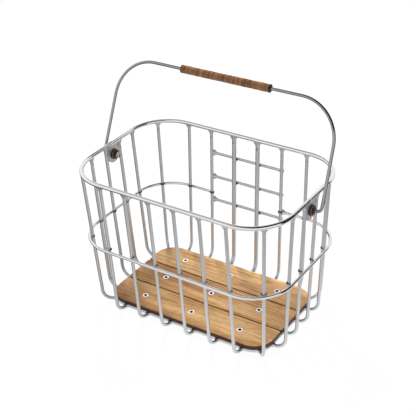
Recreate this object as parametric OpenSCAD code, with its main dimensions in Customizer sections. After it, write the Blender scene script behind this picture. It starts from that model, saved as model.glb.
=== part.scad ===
// Tube and rod shopping basket with a wooden floor and a swinging bail handle.
// X runs along the long side, Y to the back with the rear bars, Z up.
// The origin is at the middle of the footprint, at the bottom of the base ring.

/* [Rim] */
// Length of the rim's centre line
rim_length = 400; // [340:1:480]
// Width of the rim's centre line
rim_width = 265; // [230:1:320]
// Corner radius of the rim's centre line
rim_corner = 73; // [60:1:85]
// Height of the rim's centre line above the ground
rim_height = 272.5; // [225:0.5:330]
// Diameter of the rim tube
rim_d = 7.5; // [6.5:0.1:10]
// Wall of the rim tube
rim_wall = 1; // [0.8:0.1:1.5]

/* [Uprights] */
// Diameter of the thin uprights
upright_d = 6; // [5:0.1:7]
// Diameter of the two thick uprights at the middle of the back
thick_d = 8; // [6:0.1:9]
// Wall of the uprights
upright_wall = 1; // [0.8:0.1:1.5]
// Inward lean of the uprights in degrees
lean = 2.9; // [1:0.1:5]
// Centre line radius of the bend at the foot
foot_bend = 22; // [15:0.5:26]
// Spacing of the six uprights of a long side
long_pitch = 49; // [40:0.5:56]
// Spacing of the four uprights of a short side
short_pitch = 39.5; // [34:0.5:46]
// Diameter of the vent hole in a thin upright
vent_d = 2; // [1.5:0.1:2.5]
// Diameter of the vent hole in a thick upright
thick_vent_d = 3; // [2:0.1:4]
// Distance of the vent hole below the rim's centre line
vent_drop = 14; // [13:0.5:20]

/* [Welds] */
// Half width of a weld flare where it meets the tube it is welded to
flare_w = 6.2; // [4.5:0.1:7]
// Length of a weld flare
flare_h = 8; // [5:0.5:10]
// Depth that a rod bites into the uprights it crosses
weld_bite = 0.2; // [0.1:0.05:0.4]
// How far a rod of the back runs past the middle of its last upright
bar_tail = 1; // [0.5:0.1:3]

/* [Mid ring and rear bars] */
// Diameter of the mid ring rod
mid_d = 5.5; // [4:0.1:7]
// Height of the mid ring's centre line
mid_height = 140.5; // [115:0.5:165]
// Diameter of the rear bars
bar_d = 5.5; // [4:0.1:7]
// Distance of the highest rear bar below the rim's centre line
bar_drop = 49; // [30:0.5:60]
// Spacing of the three rear bars
bar_pitch = 48.5; // [40:0.5:52]

/* [Base] */
// Diameter of the base ring tube
base_d = 7.5; // [6.5:0.1:9]
// Wall of the base ring tube
base_wall = 1; // [0.8:0.1:1.5]
// Distance of the base ring inside the rim
base_inset = 40; // [36:0.5:46]
// Width of the cross rails under the planks
rail_w = 20; // [16:1:26]
// Thickness of the cross rails
rail_t = 3; // [2:0.5:3]

/* [Planks] */
// Thickness of the planks
plank_t = 8; // [6:0.5:12]
// Gap between the planks
plank_gap = 2.5; // [1:0.5:5]
// Corner radius of a plank at the gaps
plank_round = 3.5; // [2:0.5:6]
// Spacing of the eyelets along the basket
eyelet_pitch = 100.5; // [80:0.5:110]
// Diameter of the eyelet flange
eyelet_d = 10.8; // [9:0.1:13]
// Thickness of the eyelet flange
eyelet_t = 0.9; // [0.6:0.1:1.2]
// Outer diameter of the eyelet barrel
barrel_d = 6.5; // [5.5:0.1:7.5]
// Hole through the eyelet
eyelet_hole = 5; // [4:0.1:5.2]
// Clearance around the eyelet barrel and flange
eyelet_fit = 0.2; // [0.1:0.05:0.4]

/* [Pivots] */
// Distance of the pivot axis below the rim's centre line
pivot_drop = 20.5; // [18:0.5:24]
// Thickness of the pivot plate
plate_t = 3; // [2:0.5:4]
// Distance of the pivot plate's middle inside the rim's centre line
plate_inset = 1; // [0:0.1:2]
// Radius of the plate's lower tab
plate_r = 16.5; // [14:0.1:17]
// Outer diameter of the bush sleeve
sleeve_d = 8; // [7.2:0.1:9]
// Diameter of the bush flange and the inner black washer
flange_d = 19; // [16:0.5:22]
// Thickness of the bush flange and the inner black washer
flange_t = 2; // [1.5:0.1:3]
// Diameter of the leather washers
leather_d = 17.5; // [14:0.5:20]
// Thickness of the leather washers
leather_t = 2.3; // [1.5:0.1:3]
// Diameter of the outer end washer
outer_end_d = 12.5; // [9:0.5:15]
// Diameter of the inner end washer
inner_end_d = 15.5; // [13:0.5:18]
// Thickness of the end washers
end_t = 1.8; // [1:0.1:2.5]
// Width across the corners of the lock nut
nut_d = 11.6; // [10:0.1:14]
// Length of the lock nut
nut_h = 7; // [5:0.5:9]
// Depth of the rod's end inside the nut
nut_recess = 1.5; // [0.5:0.1:2.5]
// Radial clearance of the rod in the bush
rod_fit = 0.05; // [0.02:0.01:0.1]
// Gap between a turning washer and a fixed face
face_gap = 0.05; // [0.02:0.01:0.1]

/* [Bail] */
// Diameter of the bail rod
bail_d = 5.5; // [4.5:0.1:6]
// Distance from the rim's centre line to the foot of a bail leg
bail_out = 18.3; // [17:0.1:24]
// Height of the bail's top bar above the pivot axis
bail_h = 174; // [140:1:200]
// Radius of the bend into the pivot
bail_foot = 8; // [6:0.5:8.5]
// Radius of the bail's top corners
bail_corner = 70; // [50:1:85]
// Lean of the bail legs toward each other in degrees
bail_lean = 1.6; // [0:0.1:4]
// Rest position of the bail, in degrees toward the back
bail_rest = 23.75; // [0:0.25:45]
// Diameter of the leather grip
grip_d = 14.5; // [12:0.5:20]
// Number of leather discs in the grip
disc_n = 56; // [40:2:60]
// Thickness of one leather disc
disc_t = 2.95; // [2:0.05:4]
// Gap between leather discs
disc_gap = 0.1; // [0.05:0.05:0.3]
// Thickness of the grip's end caps
cap_t = 1.2; // [0.8:0.1:4]

/* [Hidden] */
$fn = 64;
eps = 0.5;
over = 0.4;
slim = 0.04;
half_l = rim_length / 2;
half_w = rim_width / 2;
flat_l = half_l - rim_corner;
flat_w = half_w - rim_corner;
foot_z = base_d / 2;
floor_z = base_d;
pivot_z = rim_height - pivot_drop;
bar_end = 1.5 * long_pitch;
top_bar_z = rim_height - bar_drop;
bars_z = [top_bar_z - 2 * bar_pitch, top_bar_z - bar_pitch, top_bar_z];

// Offset of an upright's centre line from the rim line at height z
function lean_at(z) = -(rim_height - z) * tan(lean);
// Offset of a rod of diameter d that is welded to the outside of the uprights
function rod_at(z, d) = lean_at(z) + upright_d / 2 / cos(lean) + d / 2 - weld_bite;

// Centre line height of the foot of an upright of diameter d, clear of the ground
function foot_at(d) = max(base_d, d + 0.2) / 2;
// Height and offset where the leg ends and the bend starts, the bend's centre, and the leg's length
function tangent_z(d) = foot_at(d) + foot_bend * (1 - sin(lean));
function tangent_u(d) = lean_at(tangent_z(d));
function bend_u(d) = tangent_u(d) - foot_bend * cos(lean);
function leg_l(d) = (rim_height - 1 - tangent_z(d)) / cos(lean);
foot_flare = 6;

// Plank outline: its edge is flush with the outside of the base ring
deck_l = half_l - base_inset + base_d / 2;
deck_w = half_w - base_inset + base_d / 2;
deck_r = rim_corner - base_inset + base_d / 2;
plank_w = (2 * deck_w - 2 * plank_gap) / 3;
eyelet_row = plank_w + plank_gap;
rail_z = floor_z - rail_t;
rail_l = half_w - base_inset - base_d / 4;
sink = eyelet_t + 0.3;

// Pivot stack, measured along X from the middle of the basket
plate_x = half_l - plate_inset;
plate_out = plate_x + plate_t / 2;
plate_in = plate_x - plate_t / 2;
leather_out = plate_out + flange_t + face_gap;
end_out = leather_out + leather_t;
leather_in = plate_in - flange_t - face_gap;
end_in = leather_in - leather_t;
nut_in = end_in - end_t;
rod_in = nut_in - nut_h + nut_recess;
bore_d = bail_d + 2 * rod_fit;

// Bail path in its own plane, with the pivot axis at zero
bail_x = half_l + bail_out;
foot_x = bail_x - (bail_foot + bail_foot * sin(bail_lean)) * tan(bail_lean) - bail_foot * cos(bail_lean);
top_z = bail_h - bail_corner;
top_x = bail_x - (top_z + bail_corner * sin(bail_lean)) * tan(bail_lean) - bail_corner * cos(bail_lean);
leg_top = top_z + bail_corner * sin(bail_lean);
leg_foot = bail_foot + bail_foot * sin(bail_lean);
leg_l_bail = (leg_top - leg_foot) / cos(bail_lean);
stack_l = disc_n * (disc_t + disc_gap);

aluminium = [0.80, 0.81, 0.82];
polished = [0.88, 0.88, 0.89];
steel = [0.62, 0.62, 0.63];
wood = [0.78, 0.62, 0.42];
hide = [0.55, 0.33, 0.20];
black = [0.08, 0.08, 0.08];

// A straight round bar along X, from x = a to x = b
module bar_x(a, b, d) {
    translate([a, 0, 0]) rotate([0, 90, 0]) cylinder(h = b - a, d = d);
}

// A straight round bar along Y, centred
module bar_y(length, d) {
    rotate([90, 0, 0]) rotate([0, 0, 37]) cylinder(h = length, d = d, center = true);
}

// A quarter of a ring from +X to +Y, and the straight run of the given length before it
module quarter_run(radius, run, d) {
    rotate_extrude(angle = 90) translate([radius, 0]) circle(d = d);
    translate([radius, 0, 0]) rotate([90, 0, 0]) cylinder(h = run, d = d);
}

// A closed rounded rectangle of round bar
module ring(flat_x, flat_y, corner, d) {
    translate([flat_x, flat_y, 0]) quarter_run(corner, 2 * flat_y, d);
    translate([-flat_x, flat_y, 0]) rotate([0, 0, 90]) quarter_run(corner, 2 * flat_x, d);
    translate([-flat_x, -flat_y, 0]) rotate([0, 0, 180]) quarter_run(corner, 2 * flat_y, d);
    translate([flat_x, -flat_y, 0]) rotate([0, 0, 270]) quarter_run(corner, 2 * flat_x, d);
}

// A weld flare around the Z axis: r wide at the bottom, w at the height h and for cap above it
module flare(r, w, h, cap) {
    start = r - 0.1;
    arc = (h * h + (w - start) * (w - start)) / (2 * (w - start));
    rotate_extrude() difference() {
        square([w, h + cap]);
        translate([start + arc, 0]) circle(r = arc, $fn = 160);
    }
}

// A flare with flat sides, slab thick across its width, which lies along Y
module flat_flare(r, w, h, cap, slab) {
    intersection() {
        flare(r, w, h, cap);
        translate([-slab / 2, -w - 1, -1]) cube([slab, 2 * w + 2, h + cap + 2]);
    }
}

// Frame of the leg of an upright of diameter d: Z runs up the leg from the end of its bend
module leg_frame(d) {
    translate([tangent_u(d), 0, tangent_z(d)]) rotate([0, lean, 0]) children();
}

// Leg, bend and foot of an upright of diameter d in its own plane, drawn in round bar of diameter w,
// with both ends longer by more. The rim line is at x = 0 and outward is +X. The bend is a little
// slimmer and runs into the straight lengths, so that they join cleanly.
module upright_path(d, w, shift, more = 0) {
    leg_frame(d) translate([0, 0, -over]) cylinder(h = leg_l(d) + over + more, d = w);
    translate([bend_u(d), 0, foot_at(d) + foot_bend]) rotate([90, 0, 0]) rotate([0, 0, -90])
        rotate_extrude(angle = 90 - lean) translate([foot_bend, 0]) circle(d = w - slim);
    translate([0, 0, foot_at(d)]) bar_x(shift + 2 - base_inset - more, bend_u(d) + over, w);
}

// The piece of a ring that an upright meets, at offset u from the rim line and height z
module met_ring(u, z, d, corner) {
    translate([0, 0, z]) {
        if (corner) {
            translate([-rim_corner, 0, 0]) rotate_extrude() translate([rim_corner + u, 0]) circle(d = d);
        } else {
            translate([u, 0, 0]) bar_y(40, d);
        }
    }
}

// The flares at the top and the foot of an upright
module upright_flares(d, shift) {
    slab = 0.9 * d;
    leg_frame(d) translate([0, 0, leg_l(d) - rim_d / 2 - flare_h + 1])
        flat_flare(d / 2, flare_w + (d - upright_d) / 2, flare_h, rim_d / 2 - 1.5, slab);
    translate([shift + base_d / 2 + foot_flare - base_inset, 0, foot_at(d)]) rotate([0, -90, 0])
        flat_flare(d / 2, flare_w - 1.2 + (d - upright_d) / 2, foot_flare, base_d / 2 - 1.7, slab);
}

module upright_shape(d, shift) {
    translate([-shift, 0, 0]) {
        upright_path(d, d, shift);
        upright_flares(d, shift);
    }
}

// One upright in its own plane, cut to fit the rings and bars that it is welded to
module upright(d = upright_d, vent = vent_d, shift = 0, corner = false, mid = true, bars = false) {
    color(aluminium) difference() {
        upright_shape(d, shift);
        translate([-shift, 0, 0]) upright_path(d, d - 2 * upright_wall, shift, 1);
        if (foot_at(d) + d / 2 > floor_z)
            translate([-base_inset - 10, -15, floor_z - 0.05]) cube([base_d / 2 + 10.3, 30, 10]);
        translate([lean_at(rim_height - vent_drop) - shift - d, 0, rim_height - vent_drop])
            rotate([0, 90, 0]) cylinder(h = d, d = vent);
        met_ring(0, rim_height, rim_d, corner);
        met_ring(-base_inset, foot_z, base_d, corner);
        if (mid) met_ring(rod_at(mid_height, mid_d), mid_height, mid_d, corner);
        if (bars) for (z = bars_z) met_ring(rod_at(z, bar_d), z, bar_d, false);
    }
}

module front_upright(i) {
    translate([(i - 3.5) * long_pitch, -half_w, 0]) rotate([0, 0, -90]) upright();
}

module back_upright(i) {
    thick = i == 3 || i == 4;
    translate([(i - 3.5) * long_pitch, half_w, 0]) rotate([0, 0, 90])
        upright(thick ? thick_d : upright_d, thick ? thick_vent_d : vent_d,
            thick ? (thick_d - upright_d) / 2 : 0, false, !thick, i > 1 && i < 6);
}

module left_upright(i) {
    translate([-half_l, (i - 2.5) * short_pitch, 0]) rotate([0, 0, 180]) upright();
}

module right_upright(i) {
    translate([half_l, (i - 2.5) * short_pitch, 0]) upright();
}

module corner_upright(sx, sy) {
    reach = rim_corner * cos(45);
    turn = atan2(sy, sx);
    translate([sx * (half_l - rim_corner + reach), sy * (half_w - rim_corner + reach), 0])
        rotate([0, 0, turn]) upright(corner = true);
}

module top_rim() {
    color(polished) translate([0, 0, rim_height]) difference() {
        ring(flat_l, flat_w, rim_corner, rim_d);
        ring(flat_l, flat_w, rim_corner, rim_d - 2 * rim_wall);
    }
}

module base_ring() {
    color(aluminium) translate([0, 0, foot_z]) difference() {
        ring(flat_l, flat_w, rim_corner - base_inset, base_d);
        ring(flat_l, flat_w, rim_corner - base_inset, base_d - 2 * base_wall);
    }
}

// The weld at the end of a rod of the back, at height z, on an upright at x = 0.
// It comes from the rod's own frame: the rod runs along X toward positive x.
module end_weld(z, d) {
    reach = rod_at(z, d) - lean_at(z);
    difference() {
        intersection() {
            translate([flare_h + upright_d / 2, 0, 0]) rotate([0, -90, 0])
                flare(d / 2, flare_w, flare_h, upright_d / 2);
            translate([0.7, -reach + 0.4, -10]) cube([20, reach + d / 2 - 0.7, 20]);
        }
        translate([0, -reach, 0]) rotate([-lean, 0, 0]) rotate([0, 0, 37]) cylinder(h = 40, d = upright_d, center = true);
    }
}

// The mid ring: three quarters of a ring's sides, with the back open between two uprights
module mid_ring() {
    corner = rim_corner + rod_at(mid_height, mid_d);
    run = flat_l - bar_end + bar_tail;
    color(aluminium) translate([0, 0, mid_height]) {
        translate([flat_l, flat_w, 0]) {
            quarter_run(corner, 2 * flat_w, mid_d);
            translate([0, corner, 0]) {
                rotate([0, -90, 0]) cylinder(h = run, d = mid_d);
                translate([bar_end - flat_l, 0, 0]) end_weld(mid_height, mid_d);
            }
        }
        translate([-flat_l, flat_w, 0]) rotate([0, 0, 90]) quarter_run(corner, run, mid_d);
        translate([-flat_l, flat_w, 0]) translate([0, corner, 0])
            translate([flat_l - bar_end, 0, 0]) mirror([1, 0, 0]) end_weld(mid_height, mid_d);
        translate([-flat_l, -flat_w, 0]) rotate([0, 0, 180]) quarter_run(corner, 2 * flat_w, mid_d);
        translate([flat_l, -flat_w, 0]) rotate([0, 0, 270]) quarter_run(corner, 2 * flat_l, mid_d);
    }
}

module rear_bar(i) {
    z = bars_z[i];
    reach = bar_end + bar_tail;
    color(aluminium) translate([0, half_w + rod_at(z, bar_d), z]) {
        bar_x(-reach, reach, bar_d);
        translate([-bar_end, 0, 0]) end_weld(z, bar_d);
        translate([bar_end, 0, 0]) mirror([1, 0, 0]) end_weld(z, bar_d);
    }
}

module cross_rail(x) {
    color(aluminium) difference() {
        translate([x - rail_w / 2, -rail_l, rail_z]) cube([rail_w, 2 * rail_l, rail_t]);
        for (s = [-1, 1])
            translate([x - rail_w, s * (half_w - base_inset), foot_z]) bar_x(0, 2 * rail_w, base_d);
        for (r = [-1:1])
            translate([x, r * eyelet_row, rail_z - 1]) cylinder(h = rail_t + 2, d = barrel_d + 2 * eyelet_fit);
    }
}

// Outline of an outer plank, with its gap edge at y = 0 and its outer corners away from it
module outer_outline() {
    edge = plank_w - deck_r;
    translate([-deck_l + plank_round, 0]) square([2 * (deck_l - plank_round), plank_round + eps]);
    translate([-deck_l, plank_round]) square([2 * deck_l, edge - plank_round]);
    translate([-deck_l + deck_r, plank_round]) square([2 * (deck_l - deck_r), plank_w - plank_round]);
    for (s = [-1, 1]) {
        translate([s * (deck_l - plank_round), plank_round]) circle(r = plank_round);
        translate([s * (deck_l - deck_r), edge]) intersection() {
            circle(r = deck_r, $fn = 128);
            translate([-deck_r, 0]) square([2 * deck_r, deck_r]);
        }
    }
}

module middle_outline() {
    side = plank_w / 2 - plank_round;
    translate([-deck_l, -side]) square([2 * deck_l, 2 * side]);
    translate([-deck_l + plank_round, -plank_w / 2]) square([2 * (deck_l - plank_round), plank_w]);
    for (sx = [-1, 1])
        for (sy = [-1, 1])
            translate([sx * (deck_l - plank_round), sy * side]) circle(r = plank_round);
}

// The three eyelet holes of a plank, around y = 0
module plank_holes() {
    for (c = [-1:1]) translate([c * eyelet_pitch, 0, 0]) {
        translate([0, 0, floor_z - 1]) cylinder(h = plank_t + 2, d = barrel_d + 2 * eyelet_fit);
        translate([0, 0, floor_z + plank_t - sink]) cylinder(h = sink + 1, d = eyelet_d + 2 * eyelet_fit);
    }
}

module outer_plank(s) {
    color(wood) difference() {
        translate([0, s * (plank_w / 2 + plank_gap), floor_z]) linear_extrude(plank_t)
            mirror([0, s < 0 ? 1 : 0]) outer_outline();
        translate([0, s * eyelet_row, 0]) plank_holes();
    }
}

module plank_middle() {
    color(wood) difference() {
        translate([0, 0, floor_z]) linear_extrude(plank_t) middle_outline();
        plank_holes();
    }
}

// One eyelet rivet around the Z axis, through a plank and its cross rail
module eyelet() {
    top = floor_z + plank_t - sink;
    difference() {
        union() {
            translate([0, 0, top]) cylinder(h = eyelet_t, d = eyelet_d);
            translate([0, 0, rail_z - eyelet_t]) cylinder(h = eyelet_t, d = eyelet_d - 1);
            translate([0, 0, rail_z - eyelet_t]) cylinder(h = top + eyelet_t - rail_z, d = barrel_d);
        }
        translate([0, 0, rail_z - eyelet_t - 1]) cylinder(h = plank_t + rail_t + 4, d = eyelet_hole);
        translate([0, 0, top + eyelet_t - 0.5]) cylinder(h = 1, d1 = eyelet_hole, d2 = eyelet_hole + 4);
    }
}

module eyelets() {
    color(polished)
        for (c = [-1:1])
            for (r = [-1:1])
                translate([c * eyelet_pitch, r * eyelet_row, 0]) eyelet();
}

// A washer on the right pivot axis, from x = a to x = a + t
module washer(a, t, d, hole) {
    translate([0, 0, pivot_z]) difference() {
        bar_x(a, a + t, d);
        bar_x(a - 1, a + t + 1, hole);
    }
}

module pivot_plate() {
    shoulder = pivot_drop - rim_d / 2 - flare_h;
    neck = short_pitch - 2 * flare_w - 2 * face_gap;
    color(aluminium) difference() {
        union() {
            translate([0, 0, pivot_z]) bar_x(plate_in, plate_out, 2 * plate_r);
            translate([plate_in, -short_pitch / 2, pivot_z]) cube([plate_t, short_pitch, shoulder]);
            translate([plate_in, -neck / 2, pivot_z]) cube([plate_t, neck, pivot_drop]);
        }
        for (s = [-1, 1])
            translate([half_l, s * short_pitch / 2, 0]) leg_frame(upright_d) cylinder(h = leg_l(upright_d), d = upright_d);
        translate([half_l, 0, rim_height]) bar_y(2 * short_pitch, rim_d);
        translate([0, 0, pivot_z]) bar_x(plate_in - 1, plate_out + 1, sleeve_d + 2 * face_gap);
    }
}

module pivot_bush() {
    color(black) translate([0, 0, pivot_z]) difference() {
        union() {
            bar_x(plate_out, plate_out + flange_t, flange_d);
            bar_x(plate_in - flange_t, plate_out + eps, sleeve_d);
        }
        bar_x(plate_in - flange_t - 1, plate_out + flange_t + 1, bore_d);
    }
}

module inner_washer() {
    color(black) washer(plate_in - flange_t, flange_t, flange_d, sleeve_d + 2 * face_gap);
}

module outer_leather() {
    color(hide) washer(leather_out, leather_t, leather_d, bail_d);
}

module outer_end_washer() {
    color(black) washer(end_out, end_t, outer_end_d, bail_d);
}

module inner_leather() {
    color(hide) washer(end_in, leather_t, leather_d, bail_d);
}

module inner_end_washer() {
    color(black) washer(nut_in, end_t, inner_end_d, bail_d);
}

module lock_nut() {
    color(steel) translate([0, 0, pivot_z]) difference() {
        translate([nut_in - nut_h, 0, 0]) rotate([0, 90, 0]) intersection() {
            cylinder(h = nut_h, d = nut_d, $fn = 6);
            cylinder(h = nut_h, d1 = nut_d - 1.6, d2 = nut_d + 2 * nut_h - 1.6);
        }
        bar_x(rod_in, nut_in + 1, bail_d);
        bar_x(nut_in - nut_h - 1, rod_in, bail_d + 0.8);
    }
}

// Half of the bail rod in its own plane, on the right. The bends are a little slimmer than the
// straight lengths and run into them.
module half_bail() {
    bar_x(rod_in, foot_x + over, bail_d);
    translate([foot_x, 0, bail_foot]) rotate([90, 0, 0]) rotate([0, 0, -90])
        rotate_extrude(angle = 90 + bail_lean) translate([bail_foot, 0]) circle(d = bail_d - slim);
    translate([foot_x + bail_foot * cos(bail_lean), 0, leg_foot]) rotate([0, -bail_lean, 0])
        translate([0, 0, -over]) cylinder(h = leg_l_bail + 2 * over, d = bail_d);
    translate([top_x, 0, top_z]) rotate([90, 0, 0]) rotate([0, 0, bail_lean])
        rotate_extrude(angle = 90 - bail_lean) translate([bail_corner, 0]) circle(d = bail_d - slim);
}

// The bail's pieces are drawn upright around the pivot axis, then tilted to rest
module rest() {
    translate([0, 0, pivot_z]) rotate([-bail_rest, 0, 0]) children();
}

module bail_rod() {
    color(steel) rest() {
        half_bail();
        mirror([1, 0, 0]) half_bail();
        translate([0, 0, bail_h]) bar_x(-top_x - over, top_x + over, bail_d);
    }
}

module grip_leather() {
    color(hide) rest() translate([0, 0, bail_h])
        for (i = [0 : disc_n - 1])
            translate([-stack_l / 2 + disc_gap / 2 + i * (disc_t + disc_gap), 0, 0]) difference() {
                bar_x(0, disc_t, grip_d);
                bar_x(-1, disc_t + 1, bail_d);
            }
}

module grip_cap() {
    color(black) rest() translate([stack_l / 2, 0, bail_h]) difference() {
        bar_x(0, cap_t, grip_d);
        bar_x(-1, cap_t + 1, bail_d);
    }
}

top_rim();
mid_ring();
base_ring();
front_upright(1);  // front_upright_1
front_upright(2);  // front_upright_2
front_upright(3);  // front_upright_3
front_upright(4);  // front_upright_4
front_upright(5);  // front_upright_5
front_upright(6);  // front_upright_6
back_upright(1);  // back_upright_1
back_upright(2);  // back_upright_2
back_upright(3);  // back_upright_3
back_upright(4);  // back_upright_4
back_upright(5);  // back_upright_5
back_upright(6);  // back_upright_6
left_upright(1);  // left_upright_1
left_upright(2);  // left_upright_2
left_upright(3);  // left_upright_3
left_upright(4);  // left_upright_4
right_upright(1);  // right_upright_1
right_upright(2);  // right_upright_2
right_upright(3);  // right_upright_3
right_upright(4);  // right_upright_4
corner_upright(-1, -1);  // corner_upright_front_left
corner_upright(1, -1);  // corner_upright_front_right
corner_upright(-1, 1);  // corner_upright_back_left
corner_upright(1, 1);  // corner_upright_back_right
rear_bar(0);  // rear_bar_low
rear_bar(1);  // rear_bar_middle
rear_bar(2);  // rear_bar_high
cross_rail(-eyelet_pitch);  // cross_rail_left
cross_rail(0);  // cross_rail_middle
cross_rail(eyelet_pitch);  // cross_rail_right
outer_plank(-1);  // plank_front
plank_middle();
outer_plank(1);  // plank_back
eyelets();
mirror([1, 0, 0]) pivot_plate();  // pivot_plate_left
pivot_plate();  // pivot_plate_right
mirror([1, 0, 0]) pivot_bush();  // pivot_bush_left
pivot_bush();  // pivot_bush_right
mirror([1, 0, 0]) inner_washer();  // inner_washer_left
inner_washer();  // inner_washer_right
bail_rod();
grip_leather();
mirror([1, 0, 0]) grip_cap();  // grip_cap_left
grip_cap();  // grip_cap_right
mirror([1, 0, 0]) outer_leather();  // outer_leather_left
outer_leather();  // outer_leather_right
mirror([1, 0, 0]) outer_end_washer();  // outer_end_washer_left
outer_end_washer();  // outer_end_washer_right
mirror([1, 0, 0]) inner_leather();  // inner_leather_left
inner_leather();  // inner_leather_right
mirror([1, 0, 0]) inner_end_washer();  // inner_end_washer_left
inner_end_washer();  // inner_end_washer_right
mirror([1, 0, 0]) lock_nut();  // lock_nut_left
lock_nut();  // lock_nut_right
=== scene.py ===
import bpy
import bmesh
import math
from mathutils import Vector, Matrix, Quaternion


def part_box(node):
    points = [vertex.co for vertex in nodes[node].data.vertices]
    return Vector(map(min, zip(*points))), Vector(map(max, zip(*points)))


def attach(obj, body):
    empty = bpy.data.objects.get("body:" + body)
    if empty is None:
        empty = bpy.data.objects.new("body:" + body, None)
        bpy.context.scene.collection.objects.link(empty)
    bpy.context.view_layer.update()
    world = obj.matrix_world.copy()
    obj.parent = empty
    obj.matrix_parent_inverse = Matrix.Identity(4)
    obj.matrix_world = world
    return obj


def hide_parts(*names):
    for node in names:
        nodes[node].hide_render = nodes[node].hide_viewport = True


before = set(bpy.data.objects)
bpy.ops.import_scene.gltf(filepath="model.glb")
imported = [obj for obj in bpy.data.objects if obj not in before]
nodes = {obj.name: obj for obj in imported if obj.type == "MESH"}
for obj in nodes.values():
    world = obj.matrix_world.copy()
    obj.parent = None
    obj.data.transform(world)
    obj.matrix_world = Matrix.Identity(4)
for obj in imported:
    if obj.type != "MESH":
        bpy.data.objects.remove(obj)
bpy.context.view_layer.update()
print("frame loaded:", len(nodes), "nodes")


# node helpers
def addNode(tree, kind, values=None, **settings):
    node = tree.nodes.new(kind)
    for key, value in settings.items():
        setattr(node, key, value)
    for key, value in (values or {}).items():
        node.inputs[key].default_value = value
    return node


def join(tree, source, target):
    tree.links.new(source, target)


def newGroup(name, inputs, outputs):
    group = bpy.data.node_groups.new(name, "ShaderNodeTree")
    for label, kind, value in inputs:
        socket = group.interface.new_socket(name=label, in_out="INPUT", socket_type=kind)
        if value is not None:
            socket.default_value = value
    for label, kind in outputs:
        group.interface.new_socket(name=label, in_out="OUTPUT", socket_type=kind)
    return group, addNode(group, "NodeGroupInput"), addNode(group, "NodeGroupOutput")


def useGroup(tree, group, values=None):
    node = addNode(tree, "ShaderNodeGroup")
    node.node_tree = group
    for key, value in (values or {}).items():
        node.inputs[key].default_value = value
    return node


def newMaterial(name, values):
    material = bpy.data.materials.new(name)
    material.use_nodes = True
    tree = material.node_tree
    shader = tree.nodes["Principled BSDF"]
    for key, value in values.items():
        shader.inputs[key].default_value = value
    return material, tree, shader


def ramp(tree, stops):
    node = addNode(tree, "ShaderNodeValToRGB")
    band = node.color_ramp
    while len(band.elements) > 1:
        band.elements.remove(band.elements[-1])
    for i, (place, colour) in enumerate(stops):
        element = band.elements[0] if i == 0 else band.elements.new(place)
        element.position = place
        element.color = (*colour, 1)
    return node


def addRelief(tree, shader, height, strength, distance):
    relief = addNode(tree, "ShaderNodeBump", {"Strength": strength, "Distance": distance})
    join(tree, height, relief.inputs["Height"])
    join(tree, relief.outputs[0], shader.inputs["Normal"])


def darken(tree, factor, colour, shade):
    # multiplies a colour by a fixed shade, as far as the factor says
    node = addNode(tree, "ShaderNodeMix", data_type="RGBA", blend_type="MULTIPLY")
    node.inputs[7].default_value = (*shade, 1)
    join(tree, factor, node.inputs[0])
    join(tree, colour, node.inputs[6])
    return node.outputs[2]


def multiply(tree, factor, colour, other):
    # multiplies a colour by a varying one
    node = addNode(tree, "ShaderNodeMix", {0: factor}, data_type="RGBA", blend_type="MULTIPLY")
    join(tree, colour, node.inputs[6])
    join(tree, other, node.inputs[7])
    return node.outputs[2]


# shared effects
def makeHandling():
    # smudges and fine rubbing that change the roughness and the tone of metal
    group, given, out = newGroup("handling",
        [("Vector", "NodeSocketVector", None), ("Low", "NodeSocketFloat", 0.1),
         ("High", "NodeSocketFloat", 0.3), ("Scale", "NodeSocketFloat", 60.0)],
        [("Roughness", "NodeSocketFloat"), ("Mask", "NodeSocketFloat"), ("Height", "NodeSocketFloat")])
    wide = addNode(group, "ShaderNodeTexNoise", {"Detail": 4.0, "Roughness": 0.6})
    fine = addNode(group, "ShaderNodeTexNoise", {"Scale": 900.0, "Detail": 2.0})
    join(group, given.outputs["Vector"], wide.inputs["Vector"])
    join(group, given.outputs["Scale"], wide.inputs["Scale"])
    join(group, given.outputs["Vector"], fine.inputs["Vector"])
    both = addNode(group, "ShaderNodeMath", {1: 0.3}, operation="MULTIPLY_ADD")
    join(group, fine.outputs["Fac"], both.inputs[0])
    join(group, wide.outputs["Fac"], both.inputs[2])
    spread = addNode(group, "ShaderNodeMapRange", {"From Min": 0.4, "From Max": 0.9})
    join(group, both.outputs[0], spread.inputs["Value"])
    join(group, given.outputs["Low"], spread.inputs["To Min"])
    join(group, given.outputs["High"], spread.inputs["To Max"])
    join(group, spread.outputs["Result"], out.inputs["Roughness"])
    join(group, wide.outputs["Fac"], out.inputs["Mask"])
    join(group, fine.outputs["Fac"], out.inputs["Height"])
    return group


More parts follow.
